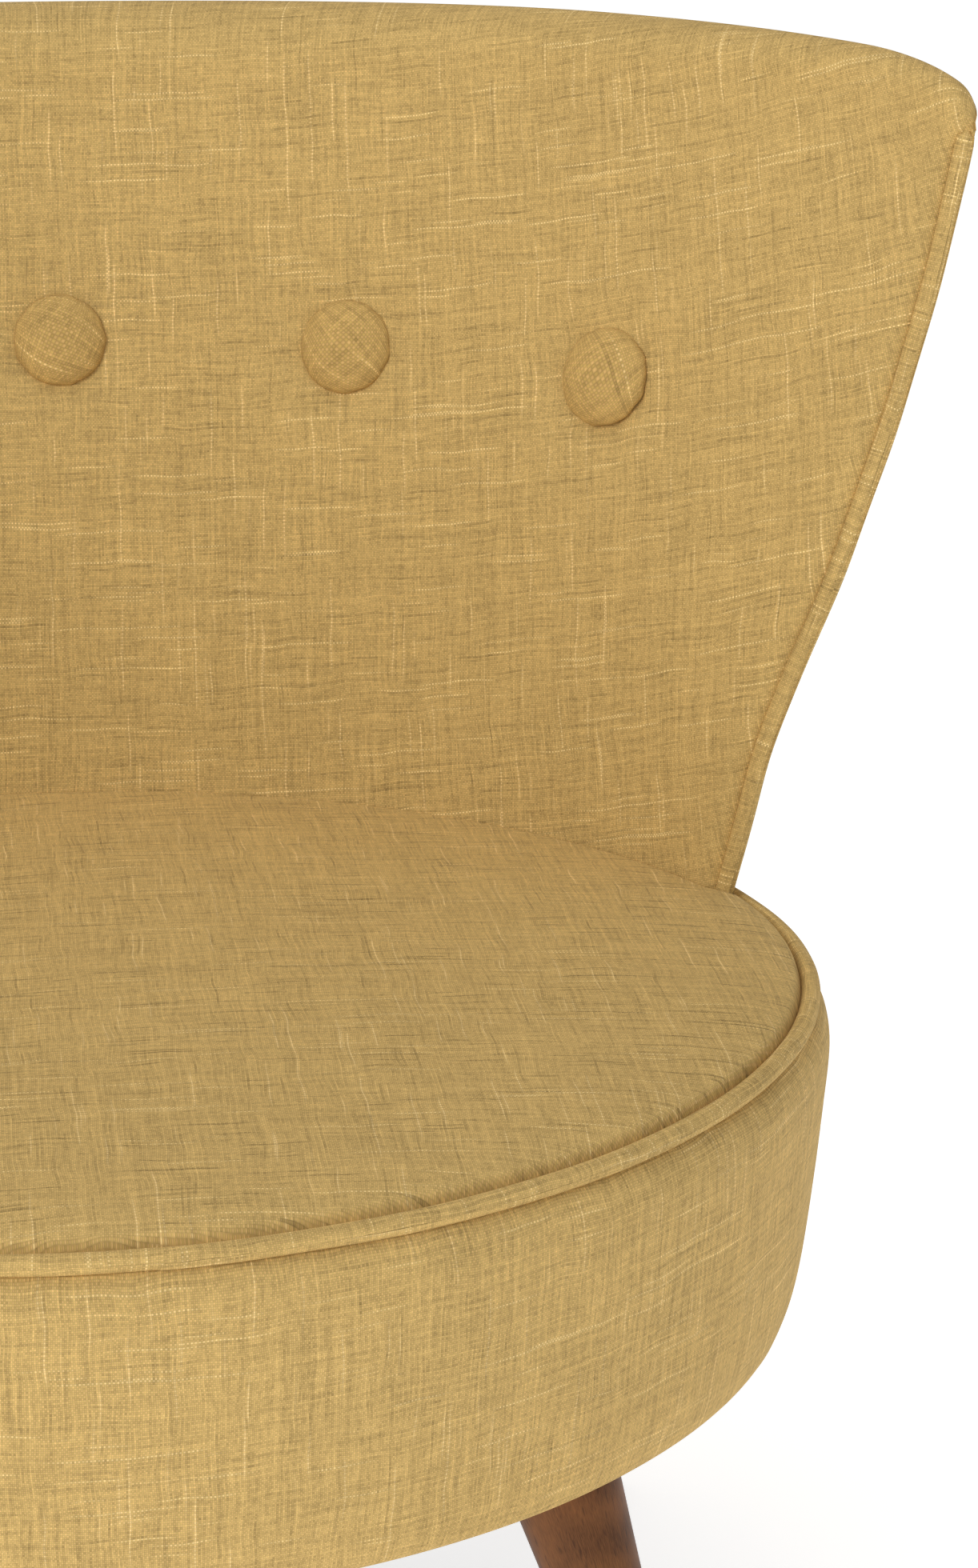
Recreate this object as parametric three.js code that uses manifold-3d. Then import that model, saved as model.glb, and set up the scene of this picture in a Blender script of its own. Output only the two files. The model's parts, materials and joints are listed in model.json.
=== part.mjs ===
// Upholstered cocktail sofa: an oval seat drum on four splayed wooden legs, with a curved,
// flared back that is buttoned on the inside and piped down both side edges.
// Millimetres. The seat faces -Y, +X is to the right of someone looking at its front, +Z is up,
// and the floor is Z = 0.

import * as THREE from 'three';
import { mergeVertices } from 'three/addons/utils/BufferGeometryUtils.js';
import Module from 'manifold-3d';

// ---- driving dimensions ----

const GAP = 0.3;                // clearance kept between neighbouring pieces
const CLOTH = 1.5;              // upholstery fabric with its lining
const LAYER_GAP = 1.2;          // looser fit between the curved layers of the back

const DRUM = {                  // the oval seat drum, measured on the outside of its band
  halfWidth: 305,
  halfDepth: 271,
  power: 1.93,                  // 2 would be a true ellipse
  bottomScale: 0.96,            // the band tapers inwards towards the floor
  bottomZ: 213.8,
  topZ: 349.6,
};
const PIPING_RADIUS = 4;
const SEAT_PIPING = { z: 354, inset: 2 };
const CROWN = { rimZ: 358.8, rise: 20.2, inset: 6.6 };
const FOAM_BASE_Z = 340;

const BASE_RING = { z: 215, thickness: 18, width: 70 };
const UPPER_RING = { z: 318, thickness: 18, width: 60 };
const BOARD_THICKNESS = 3.5;    // fibreboard wall behind the band
const BAND_SWELL = {
  most: 8,                      // the band is lightly padded
  topRun: 0.05,
  bottomRun: 0.12,
  levels: [0, 0.05, 0.12, 0.22, 0.4, 0.62, 0.8, 0.9, 0.96, 1],
};
const STUD = { width: 40, depth: 32, inset: 36, angles: [0, 65, 115, 180, 245, 295] };
const WEBBING = { width: 60, thickness: 1.5, pitch: 110, endInset: 45 };

const LEG = {
  topX: 183,
  topY: 163,
  leanX: 0.30,                  // sideways travel per millimetre of drop
  leanY: 0.26,
  topRadius: 23.5,
  footRadius: 10,
  taperPower: 1.6,              // the taper is quickest just under the seat
  chamfer: 2,
};
const GLIDE = { radius: 9.5, height: 4 };
const HANGER = { radius: 4, bottomZ: 191, topZ: 238 };
const T_NUT = { barrelRadius: 5.5, barrelLength: 12, flangeRadius: 11, flangeHeight: 1.5 };

// The back's inside face is an arc in plan that runs out into a straight flare at each wing.
const BACK = {
  arcRadius: 335,
  footZ: 346,                   // lower edge of the inside cover, tucked behind the seat pad
  outsideFootZ: 358.8,          // lower edge of the outside cover, sitting on the seat piping
  rearY: 206.6,                 // inside face on the centre line at footZ
  recline: 0.34,                // rearward travel per millimetre of height
  topZ: 708,
  topSwell: 26.8,               // the top edge swells slightly between the middle and the wings
  edgeThickness: 13,
  middleThickness: 56,
  thicknessPower: 1.5,
  cornerLength: 0.14,           // share of the half width taken by the rounded top corner
  cornerDrop: 17.5,
};
// Side edge of a wing, from the seat up to the top corner: height, half width, distance from
// the middle of the seat towards the rear.
const WING_EDGE = [
  [340, 273, 64],
  [420, 293, 70],
  [460, 309, 73],
  [500, 326, 75],
  [560, 347, 79],
  [620, 364, 83],
  [680, 377, 87],
  [712, 381, 89],
];
const EDGE_PIPING = { bottomZ: 362, topZ: 681 };
const FOAM_SHARE = 0.36;        // share of the back's thickness taken by its foam
const LINER_THICKNESS = 4.4;
const RAIL = { end: 0.84, height: 22, bottomZ: 340.3 };
const POST = { places: [-0.6, 0, 0.6], halfSpan: 0.06 };
const SCREW = { places: [-0.45, -0.2, 0.2, 0.45], radius: 4, headRadius: 5.5, headHeight: 3, setBack: 1.2 };
const BUTTON = { z: 563, spacing: 133, count: 5, radius: 21, height: 10, standOff: 1.8 };

// mesh fineness
const OVAL_STEPS = 48;
const BACK_STEPS = 24;
const FACE_LEVELS = [0, 0.07, 0.18, 0.3, 0.42, 0.57, 0.72, 0.87, 1];
const TUBE_STEPS = 8;
const ROUND_STEPS = 16;

// ---- materials ----

function material(name, color, roughness, metalness = 0) {
  const made = new THREE.MeshStandardMaterial({ color, roughness, metalness });
  made.name = name;
  return made;
}

const FABRIC = material('fabric', 0xb99a60, 0.9);
const LEG_WOOD = material('leg_wood', 0x68452c, 0.45);
const FRAME_WOOD = material('frame_wood', 0xc9a877, 0.7);
const FIBREBOARD = material('fibreboard', 0x8a6d4b, 0.8);
const FOAM = material('foam', 0xe6dfc8, 0.95);
const WEB = material('webbing', 0x2b2b2b, 0.85);
const LINING = material('lining', 0x1d1d1d, 0.9);
const STEEL = material('steel', 0xb9bcc0, 0.35, 1);
const NYLON = material('nylon', 0x2a2624, 0.5);

// ---- mesh helpers ----

function solidFrom(points, triangles) {
  const geometry = new THREE.BufferGeometry();
  const flat = points.flatMap((point) => [point.x, point.y, point.z]);
  geometry.setAttribute('position', new THREE.Float32BufferAttribute(flat, 3));
  geometry.setIndex(triangles.flat());
  return facingOut(geometry);
}

function signedVolume(geometry) {
  const position = geometry.getAttribute('position');
  const index = geometry.getIndex();
  const [a, b, c] = [new THREE.Vector3(), new THREE.Vector3(), new THREE.Vector3()];
  let volume = 0;
  for (let i = 0; i < index.count; i += 3) {
    a.fromBufferAttribute(position, index.getX(i));
    b.fromBufferAttribute(position, index.getX(i + 1));
    c.fromBufferAttribute(position, index.getX(i + 2));
    volume += a.dot(b.cross(c)) / 6;
  }
  return volume;
}

function facingOut(geometry) {
  if (signedVolume(geometry) < 0) {
    const index = geometry.getIndex();
    for (let i = 0; i < index.count; i += 3) {
      const first = index.getX(i);
      index.setX(i, index.getX(i + 1));
      index.setX(i + 1, first);
    }
  }
  return geometry;
}

// Skins a list of equal closed loops. The ends are capped unless the list closes on itself.
function loft(loops, closed = false) {
  const size = loops[0].length;
  const points = loops.flat();
  const triangles = [];
  const last = closed ? loops.length : loops.length - 1;
  for (let row = 0; row < last; row += 1) {
    const next = (row + 1) % loops.length;
    for (let k = 0; k < size; k += 1) {
      const after = (k + 1) % size;
      const [a, b] = [row * size + k, row * size + after];
      const [c, d] = [next * size + after, next * size + k];
      triangles.push([a, b, c], [a, c, d]);
    }
  }
  if (!closed) {
    capLoop(loops[0], 0, true, triangles);
    capLoop(loops[loops.length - 1], (loops.length - 1) * size, false, triangles);
  }
  return solidFrom(points, triangles);
}

// Fills one end loop, which may be hollow-sided, by cutting it into triangles in its own plane.
function capLoop(loop, offset, reversed, triangles) {
  const normal = new THREE.Vector3();
  loop.forEach((point, k) => {
    normal.add(new THREE.Vector3().crossVectors(point, loop[(k + 1) % loop.length]));
  });
  normal.normalize();
  const across = new THREE.Vector3().subVectors(loop[1], loop[0]).normalize();
  const along = new THREE.Vector3().crossVectors(normal, across);
  const flat = loop.map((point) => new THREE.Vector2(point.dot(across), point.dot(along)));
  for (const [a, b, c] of THREE.ShapeUtils.triangulateShape(flat, [])) {
    triangles.push(reversed ? [offset + a, offset + c, offset + b] : [offset + a, offset + b, offset + c]);
  }
}

// Closes the space between two equal grids of points, given as rows of points.
function slab(front, back) {
  const rows = front.length;
  const columns = front[0].length;
  const points = [...front.flat(), ...back.flat()];
  const at = (layer, row, column) => layer * rows * columns + row * columns + column;
  const triangles = [];
  const quad = (a, b, c, d) => triangles.push([a, b, c], [a, c, d]);
  for (let i = 0; i + 1 < rows; i += 1) {
    for (let j = 0; j + 1 < columns; j += 1) {
      quad(at(0, i, j), at(0, i, j + 1), at(0, i + 1, j + 1), at(0, i + 1, j));
      quad(at(1, i, j), at(1, i + 1, j), at(1, i + 1, j + 1), at(1, i, j + 1));
    }
  }
  for (let j = 0; j + 1 < columns; j += 1) {
    quad(at(0, 0, j), at(1, 0, j), at(1, 0, j + 1), at(0, 0, j + 1));
    quad(at(0, rows - 1, j + 1), at(1, rows - 1, j + 1), at(1, rows - 1, j), at(0, rows - 1, j));
  }
  for (let i = 0; i + 1 < rows; i += 1) {
    quad(at(0, i + 1, 0), at(1, i + 1, 0), at(1, i, 0), at(0, i, 0));
    quad(at(0, i, columns - 1), at(1, i, columns - 1), at(1, i + 1, columns - 1), at(0, i + 1, columns - 1));
  }
  return solidFrom(points, triangles);
}

// A round cord along a path of points. A closed path makes a ring.
function cord(path, radius, closed = false) {
  const loops = path.map((centre, k) => {
    const before = closed ? path.at(k - 1) : path[Math.max(k - 1, 0)];
    const after = closed ? path[(k + 1) % path.length] : path[Math.min(k + 1, path.length - 1)];
    const forward = new THREE.Vector3().subVectors(after, before).normalize();
    const guide = Math.abs(forward.z) > 0.7 ? new THREE.Vector3(0, 1, 0) : new THREE.Vector3(0, 0, 1);
    const side = new THREE.Vector3().crossVectors(guide, forward).normalize();
    const up = new THREE.Vector3().crossVectors(forward, side);
    return circleLoop(TUBE_STEPS, (cosine, sine) => centre.clone()
      .addScaledVector(side, radius * cosine)
      .addScaledVector(up, radius * sine));
  });
  return loft(loops, closed);
}

function circleLoop(steps, place) {
  return Array.from({ length: steps }, (_, k) => {
    const angle = (2 * Math.PI * k) / steps;
    return place(Math.cos(angle), Math.sin(angle));
  });
}

function disc(x, y, z, radius) {
  return circleLoop(ROUND_STEPS, (cosine, sine) => (
    new THREE.Vector3(x + radius * cosine, y + radius * sine, z)));
}

// An upright round piece from a list of [radius, z] steps, bottom first.
function turned(x, y, steps) {
  return loft(steps.map(([radius, z]) => disc(x, y, z, radius)));
}

function between(from, to, share) {
  return from + (to - from) * share;
}

function spread(from, to, count) {
  return Array.from({ length: count }, (_, k) => between(from, to, k / (count - 1)));
}

// ---- joining and cutting ----

const manifold = await Module();
manifold.setup();

function toManifold(geometry) {
  const bare = new THREE.BufferGeometry();
  bare.setAttribute('position', geometry.getAttribute('position'));
  bare.setIndex(geometry.getIndex());
  const welded = mergeVertices(bare, 1e-4);
  return new manifold.Manifold(new manifold.Mesh({
    numProp: 3,
    vertProperties: new Float32Array(welded.getAttribute('position').array),
    triVerts: new Uint32Array(welded.getIndex().array),
  }));
}

function fromManifold(body) {
  const mesh = body.getMesh();
  const result = new THREE.BufferGeometry();
  result.setAttribute('position', new THREE.Float32BufferAttribute(mesh.vertProperties, 3));
  result.setIndex([...mesh.triVerts]);
  return result;
}

function cut(geometry, cutters) {
  return fromManifold(cutters.reduce(
    (body, cutter) => body.subtract(toManifold(cutter)),
    toManifold(geometry),
  ));
}

// ---- the oval drum ----

function drumScale(z) {
  const share = (z - DRUM.bottomZ) / (DRUM.topZ - DRUM.bottomZ);
  return between(DRUM.bottomScale, 1, Math.min(share, 1));
}

function ovalPoint(angle, inset, z, scaleZ = z) {
  const scale = drumScale(scaleZ);
  const bend = (value) => Math.sign(value) * Math.abs(value) ** (2 / DRUM.power);
  return new THREE.Vector3(
    (DRUM.halfWidth * scale - inset) * bend(Math.cos(angle)),
    (DRUM.halfDepth * scale - inset) * bend(Math.sin(angle)),
    z,
  );
}

function oval(inset, z, scaleZ = z) {
  return Array.from({ length: OVAL_STEPS }, (_, k) => (
    ovalPoint((2 * Math.PI * k) / OVAL_STEPS, inset, z, scaleZ)));
}

// Distance from the centre line to the drum's outside, across (along X) at a given Y or the reverse.
function ovalReach(offset, halfAcross, halfAlong) {
  return halfAcross * (1 - (offset / halfAlong) ** DRUM.power) ** (1 / DRUM.power);
}

function ovalRing(ring, inset) {
  const bottom = ring.z;
  const top = ring.z + ring.thickness;
  return loft([
    oval(inset, bottom, bottom),
    oval(inset, top, bottom),
    oval(inset + ring.width, top, bottom),
    oval(inset + ring.width, bottom, bottom),
  ], true);
}

const BOARD_INSET = CLOTH + GAP;
const RING_INSET = BOARD_INSET + BOARD_THICKNESS + GAP;

function baseRing() {
  const top = BASE_RING.z + BASE_RING.thickness;
  const holes = legPlaces().map(({ x, y }) => (
    turned(x, y, [[T_NUT.barrelRadius + GAP, BASE_RING.z - 1], [T_NUT.barrelRadius + GAP, top + 1]])));
  return cut(ovalRing(BASE_RING, RING_INSET), holes);
}

function upperRing() {
  const top = UPPER_RING.z + UPPER_RING.thickness;
  const holes = screwPlaces().map(({ x, y }) => (
    turned(x, y, [[SCREW.radius + GAP, screwTipZ() - GAP], [SCREW.radius + GAP, top + 1]])));
  return cut(ovalRing(UPPER_RING, RING_INSET), holes);
}

function stud(angleDegrees) {
  const angle = THREE.MathUtils.degToRad(angleDegrees);
  const middle = ovalPoint(angle, STUD.inset, 0, BASE_RING.z);
  const ahead = ovalPoint(angle + 0.01, STUD.inset, 0, BASE_RING.z);
  const along = new THREE.Vector3().subVectors(ahead, middle).normalize();
  const inward = new THREE.Vector3(-along.y, along.x, 0);
  const corners = [[-1, -1], [1, -1], [1, 1], [-1, 1]].map(([a, b]) => middle.clone()
    .addScaledVector(along, (a * STUD.width) / 2)
    .addScaledVector(inward, (b * STUD.depth) / 2));
  const level = (z) => corners.map((corner) => corner.clone().setZ(z));
  return loft([level(BASE_RING.z + BASE_RING.thickness + GAP), level(UPPER_RING.z - GAP)]);
}

function bandBoard(quarter) {
  const middle = (quarter * Math.PI) / 2;
  const reach = Math.PI / 4 - 0.002;
  const angles = spread(middle - reach, middle + reach, OVAL_STEPS / 4 + 1);
  const levels = [BASE_RING.z, UPPER_RING.z + UPPER_RING.thickness];
  const grid = (inset) => levels.map((z) => angles.map((angle) => ovalPoint(angle, inset, z)));
  return slab(grid(BOARD_INSET), grid(BOARD_INSET + BOARD_THICKNESS));
}

// How far the band's padding swells it out over the wall of the drum at a height.
function bandSwell(share) {
  const nearTop = 1 - Math.exp((share - 1) / BAND_SWELL.topRun);
  const nearBottom = 1 - Math.exp(-share / BAND_SWELL.bottomRun);
  return BAND_SWELL.most * nearTop * nearBottom;
}

function seatBand() {
  const outside = BAND_SWELL.levels.map((share) => (
    oval(-bandSwell(share), between(DRUM.bottomZ, DRUM.topZ, share))));
  return loft([
    ...outside,
    oval(CLOTH, DRUM.topZ),
    oval(CLOTH, DRUM.bottomZ),
  ], true);
}

function seatPiping() {
  return cord(oval(SEAT_PIPING.inset, SEAT_PIPING.z), PIPING_RADIUS, true);
}

function dustCover() {
  const inset = CLOTH + 2 * GAP;
  const top = BASE_RING.z - GAP;
  const sheet = loft([oval(inset, top - 1), oval(inset, top)]);
  const holes = legPlaces().map(({ x, y }) => {
    const radius = LEG.topRadius + 2 * GAP;
    return turned(x, y, [[radius, top - 3], [radius, top + 3]]);
  });
  return cut(sheet, holes);
}

// Straps across the upper ring: the pair of directions lie one above the other.
function webbing(offset, lengthwise) {
  const { halfWidth, halfDepth } = DRUM;
  const edge = Math.abs(offset) + WEBBING.width / 2;
  const reach = lengthwise
    ? ovalReach(edge, halfDepth, halfWidth) - WEBBING.endInset
    : ovalReach(edge, halfWidth, halfDepth) - WEBBING.endInset;
  const layer = lengthwise ? WEBBING.thickness + GAP : 0;
  const bottom = UPPER_RING.z + UPPER_RING.thickness + GAP + layer;
  const size = lengthwise
    ? [WEBBING.width, 2 * reach, WEBBING.thickness]
    : [2 * reach, WEBBING.width, WEBBING.thickness];
  const strap = new THREE.BoxGeometry(...size);
  const [x, y] = lengthwise ? [offset, 0] : [0, offset];
  strap.translate(x, y, bottom + WEBBING.thickness / 2);
  return strap;
}

// ---- the seat pad ----

// Loops from the rim of the crown inwards. The crown is a shallow dome over the oval.
function crownLoops(inset, sink) {
  const shares = [1, 0.9, 0.7, 0.4, 0.06];
  return shares.map((share) => oval(inset, 0, DRUM.topZ).map((rim) => (
    new THREE.Vector3(rim.x * share, rim.y * share, CROWN.rimZ - sink + CROWN.rise * (1 - share ** 2)))));
}

// Everything behind the back's inside face, near the level of the seat.
function behindTheBack() {
  const clear = -0.5;
  const heights = [FOAM_BASE_Z - 6, CROWN.rimZ + CROWN.rise + 7];
  const pastWing = 60;
  const beyond = 420;
  return loft(heights.map((z) => {
    const face = spread(-1, 1, 41).map((share) => backPoint(share, z, clear));
    const left = face[0].clone().addScaledVector(backNormal(-1, z), pastWing);
    const right = face.at(-1).clone().addScaledVector(backNormal(1, z), pastWing);
    const far = [new THREE.Vector3(beyond, beyond, z), new THREE.Vector3(-beyond, beyond, z)];
    return [...face, right, ...far, left];
  }));
}

function seatFoam() {
  const side = CLOTH + 2 * GAP;
  const inset = CROWN.inset + CLOTH + GAP;
  const stepZ = SEAT_PIPING.z - PIPING_RADIUS - 2 * GAP;
  const pad = loft([
    oval(side, FOAM_BASE_Z),
    oval(side, stepZ, FOAM_BASE_Z),
    oval(inset, stepZ, DRUM.topZ),
    ...crownLoops(inset, CLOTH + GAP),
  ]);
  return cut(pad, [behindTheBack()]);
}

function seatTopCover() {
  const footZ = SEAT_PIPING.z - PIPING_RADIUS + GAP;
  const shell = (inset, sink, foot) => loft([
    oval(inset, foot, DRUM.topZ),
    ...crownLoops(inset, sink),
  ]);
  const outside = shell(CROWN.inset, 0, footZ);
  const inside = shell(CROWN.inset + CLOTH, CLOTH, footZ - 5);
  return cut(outside, [inside, behindTheBack()]);
}

// ---- legs and fixings ----

function legPlaces() {
  return [
    { name: 'front_left', x: -LEG.topX, y: -LEG.topY },
    { name: 'front_right', x: LEG.topX, y: -LEG.topY },
    { name: 'rear_left', x: -LEG.topX, y: LEG.topY },
    { name: 'rear_right', x: LEG.topX, y: LEG.topY },
  ];
}

// Centre of a leg at a height below its top.
function legCentre(place, z) {
  const drop = BASE_RING.z - GAP - z;
  return {
    x: place.x + Math.sign(place.x) * LEG.leanX * drop,
    y: place.y + Math.sign(place.y) * LEG.leanY * drop,
  };
}

function leg(place) {
  const top = BASE_RING.z - GAP;
  const foot = GLIDE.height + GAP;
  const level = (z, trim = 0) => {
    const share = (top - z) / (top - foot);
    const radius = between(LEG.footRadius, LEG.topRadius, (1 - share) ** LEG.taperPower) - trim;
    const { x, y } = legCentre(place, z);
    return disc(x, y, z, radius);
  };
  const heights = [18, 42, 72, 108, 150].map((drop) => level(top - drop));
  const body = loft([
    level(top, LEG.chamfer),
    level(top - LEG.chamfer),
    ...heights,
    level(foot + 1),
    level(foot, 1),
  ]);
  const bore = turned(place.x, place.y, [
    [HANGER.radius + GAP, HANGER.bottomZ - GAP],
    [HANGER.radius + GAP, top + 1],
  ]);
  return cut(body, [bore]);
}

function glide(place) {
  const { x, y } = legCentre(place, GLIDE.height);
  return turned(x, y, [
    [GLIDE.radius - 1, 0],
    [GLIDE.radius, 1],
    [GLIDE.radius, GLIDE.height],
  ]);
}

function hangerBolt({ x, y }) {
  return turned(x, y, [
    [HANGER.radius - 1, HANGER.bottomZ],
    [HANGER.radius, HANGER.bottomZ + 2],
    [HANGER.radius, HANGER.topZ],
  ]);
}

function tNut({ x, y }) {
  const seat = BASE_RING.z + BASE_RING.thickness + GAP;
  const low = seat - T_NUT.barrelLength;
  const high = seat + T_NUT.flangeHeight;
  const bore = HANGER.radius + GAP;
  return loft([
    disc(x, y, low, bore),
    disc(x, y, low, T_NUT.barrelRadius),
    disc(x, y, seat, T_NUT.barrelRadius),
    disc(x, y, seat, T_NUT.flangeRadius),
    disc(x, y, high, T_NUT.flangeRadius),
    disc(x, y, high, bore),
  ], true);
}

// ---- the curved back ----

// The wing's side edge at a height: its half width and how far back it stands.
function wingEdge(z) {
  const above = Math.max(WING_EDGE.findIndex(([height]) => height >= z), 1);
  const [lowZ, lowX, lowY] = WING_EDGE[above - 1];
  const [highZ, highX, highY] = WING_EDGE[above];
  const share = (z - lowZ) / (highZ - lowZ);
  return { x: between(lowX, highX, share), y: between(lowY, highY, share) };
}

// The plan curve of the inside face at a height: an arc, then a straight flare to the wing's edge.
function planCurve(z) {
  const edge = wingEdge(z);
  const rear = BACK.rearY + BACK.recline * (z - BACK.footZ);
  const centre = rear - BACK.arcRadius;
  const reach = Math.hypot(edge.x, edge.y - centre);
  const flare = Math.sqrt(Math.max(reach ** 2 - BACK.arcRadius ** 2, 0));
  const sweep = Math.atan2(edge.x, edge.y - centre) - Math.atan2(flare, BACK.arcRadius);
  return { centre, flare, sweep, length: BACK.arcRadius * sweep + flare };
}

// Turning angle of the plan curve at a share of its half length.
function planTurn(share, z) {
  const { sweep, length } = planCurve(z);
  return Math.sign(share) * Math.min((Math.abs(share) * length) / BACK.arcRadius, sweep);
}

function backNormal(share, z) {
  const turn = planTurn(share, z);
  return new THREE.Vector3(Math.sin(turn), Math.cos(turn), 0);
}

// A point of the back: share runs from -1 at the left wing's edge to 1 at the right wing's,
// depth is measured rearwards from the inside face, trim shortens both ends.
function backPoint(share, z, depth, trim = 0) {
  const { centre, sweep, length } = planCurve(z);
  const run = Math.abs(share) * (length - trim);
  const turn = Math.min(run / BACK.arcRadius, sweep);
  const straight = run - BACK.arcRadius * turn;
  const side = share < 0 ? -1 : 1;
  return new THREE.Vector3(
    side * (BACK.arcRadius * Math.sin(turn) + straight * Math.cos(turn) + depth * Math.sin(turn)),
    centre + BACK.arcRadius * Math.cos(turn) - straight * Math.sin(turn) + depth * Math.cos(turn),
    z,
  );
}

function backThickness(share) {
  const bulk = BACK.middleThickness - BACK.edgeThickness;
  return BACK.edgeThickness + bulk * (1 - Math.abs(share) ** BACK.thicknessPower);
}

function backTop(share) {
  const reach = Math.abs(share);
  const swell = BACK.topSwell * reach ** 2 * (1 - reach ** 2);
  const corner = Math.max((reach - 1 + BACK.cornerLength) / BACK.cornerLength, 0);
  return BACK.topZ + swell - BACK.cornerDrop * (1 - Math.sqrt(1 - Math.min(corner, 1) ** 2));
}

// Height at which the straight faces end and the rolled top begins.
function rollFoot(share) {
  return backTop(share) - backThickness(share) / 2;
}

// A point on the rolled top, from angle 0 on the inside face to pi on the outside face.
function rollPoint(share, angle, sink, trim) {
  const half = backThickness(share) / 2;
  const z = rollFoot(share) + (half - sink) * Math.sin(angle);
  return backPoint(share, z, half - (half - sink) * Math.cos(angle), trim);
}

// Columns are packed closer together at the wings, where the corner is rounded off.
function backShares() {
  return spread(-1, 1, BACK_STEPS + 1).map((share) => Math.sin((share * Math.PI) / 2) * 0.4 + share * 0.6);
}

const ROLL_SEAM = 0.86 * Math.PI;  // where the inside cover meets the outside cover

// Rows of points over the inside face and the rolled top, sunk below the cover's surface.
function insideRows(sinkAt, trim, footZ) {
  const faceRow = (level) => backShares().map((share) => (
    backPoint(share, between(footZ, rollFoot(share), level), sinkAt(share), trim)));
  const rollRow = (angle) => backShares().map((share) => rollPoint(share, angle, sinkAt(share), trim));
  return [
    ...FACE_LEVELS.map(faceRow),
    ...spread(0, ROLL_SEAM, 7).slice(1).map(rollRow),
  ];
}

const COVER_TRIM = 7;           // covers stop beside the edge piping
const FILLING_TRIM = 17;        // foam, liner and rails stop short of it

function insideBackCover() {
  return slab(
    insideRows(() => 0, COVER_TRIM, BACK.footZ),
    insideRows(() => CLOTH, COVER_TRIM, BACK.footZ),
  );
}

function backFoam() {
  return slab(
    insideRows(() => CLOTH + LAYER_GAP, FILLING_TRIM, FOAM_BASE_Z + 2),
    insideRows((share) => FOAM_SHARE * backThickness(share), FILLING_TRIM, FOAM_BASE_Z + 2),
  );
}

function outsideBackCover() {
  const rows = (sink) => [
    ...spread(ROLL_SEAM + 0.03, Math.PI, 3).slice(0, -1).map((angle) => (
      backShares().map((share) => rollPoint(share, angle, sink, COVER_TRIM)))),
    ...[...FACE_LEVELS].reverse().map((level) => backShares().map((share) => {
      const z = between(BACK.outsideFootZ, rollFoot(share), level);
      return backPoint(share, z, backThickness(share) - sink, COVER_TRIM);
    })),
  ];
  return slab(rows(0), rows(CLOTH));
}

function linerDepth(share) {
  return FOAM_SHARE * backThickness(share) + LAYER_GAP;
}

// A block inside the back, between two shares, two heights and two depths.
function backBlock(shares, heights, depths) {
  const grid = (depthAt) => heights.map((heightAt) => shares.map((share) => (
    backPoint(share, heightAt(share), depthAt(share), FILLING_TRIM))));
  return slab(grid(depths[0]), grid(depths[1]));
}

function backLiner() {
  const levels = FACE_LEVELS.map((level) => (
    (share) => between(FOAM_BASE_Z + 2, rollFoot(share) - 2, level)));
  return backBlock(backShares(), levels, [linerDepth, (share) => linerDepth(share) + LINER_THICKNESS]);
}

const railDepths = [
  (share) => linerDepth(share) + LINER_THICKNESS + LAYER_GAP,
  (share) => backThickness(share) - CLOTH - LAYER_GAP,
];

function backRail(bottomAt) {
  const shares = spread(-RAIL.end, RAIL.end, 25);
  return backBlock(shares, [bottomAt, (share) => bottomAt(share) + RAIL.height], railDepths);
}

function bottomRail() {
  const rail = backRail(() => RAIL.bottomZ);
  const holes = screwPlaces().map(({ x, y }) => turned(x, y, [
    [SCREW.radius + GAP, RAIL.bottomZ - 1],
    [SCREW.radius + GAP, RAIL.bottomZ + RAIL.height + 1],
  ]));
  return cut(rail, holes);
}

function topRailBottom(share) {
  return rollFoot(share) - RAIL.height - 2.5;
}

function post(place) {
  const shares = spread(place - POST.halfSpan, place + POST.halfSpan, 4);
  const levels = [
    () => RAIL.bottomZ + RAIL.height + GAP,
    (share) => between(RAIL.bottomZ + RAIL.height, topRailBottom(share), 0.5),
    (share) => topRailBottom(share) - 1,
  ];
  return backBlock(shares, levels, railDepths);
}

function screwPlaces() {
  return SCREW.places.map((share) => {
    const depth = (railDepths[0](share) + railDepths[1](share)) / 2 + SCREW.setBack;
    return backPoint(share, RAIL.bottomZ + RAIL.height / 2, depth, FILLING_TRIM);
  });
}

function screwTipZ() {
  return UPPER_RING.z + 4;
}

function railScrew({ x, y }) {
  const head = RAIL.bottomZ + RAIL.height + GAP;
  return turned(x, y, [
    [SCREW.radius - 1.5, screwTipZ()],
    [SCREW.radius, screwTipZ() + 3],
    [SCREW.radius, head],
    [SCREW.headRadius, head],
    [SCREW.headRadius, head + SCREW.headHeight],
  ]);
}

function edgePiping(side) {
  const heights = spread(EDGE_PIPING.bottomZ, EDGE_PIPING.topZ, 18);
  const path = heights.map((z) => backPoint(side, z, BACK.edgeThickness / 2, PIPING_RADIUS));
  return cord(path, PIPING_RADIUS);
}

function button(index) {
  const { length } = planCurve(BUTTON.z);
  const share = ((index - (BUTTON.count - 1) / 2) * BUTTON.spacing) / length;
  const place = backPoint(share, BUTTON.z, -BUTTON.standOff);
  const normal = backNormal(share, BUTTON.z);
  const facing = new THREE.Vector3(-normal.x, -normal.y, BACK.recline).normalize();
  const turn = new THREE.Quaternion().setFromUnitVectors(new THREE.Vector3(0, 0, 1), facing);
  const { radius, height } = BUTTON;
  const dome = turned(0, 0, [
    [radius - 2, 0],
    [radius, 2],
    [radius - 1, 4.5],
    [radius * 0.75, height - 1.6],
    [radius * 0.4, height - 0.3],
    [radius * 0.12, height],
  ]);
  dome.applyQuaternion(turn);
  dome.translate(place.x, place.y, place.z);
  return dome;
}

// ---- assembly ----

const sofa = new THREE.Group();
sofa.name = 'wooden_leg_sofa';

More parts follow.
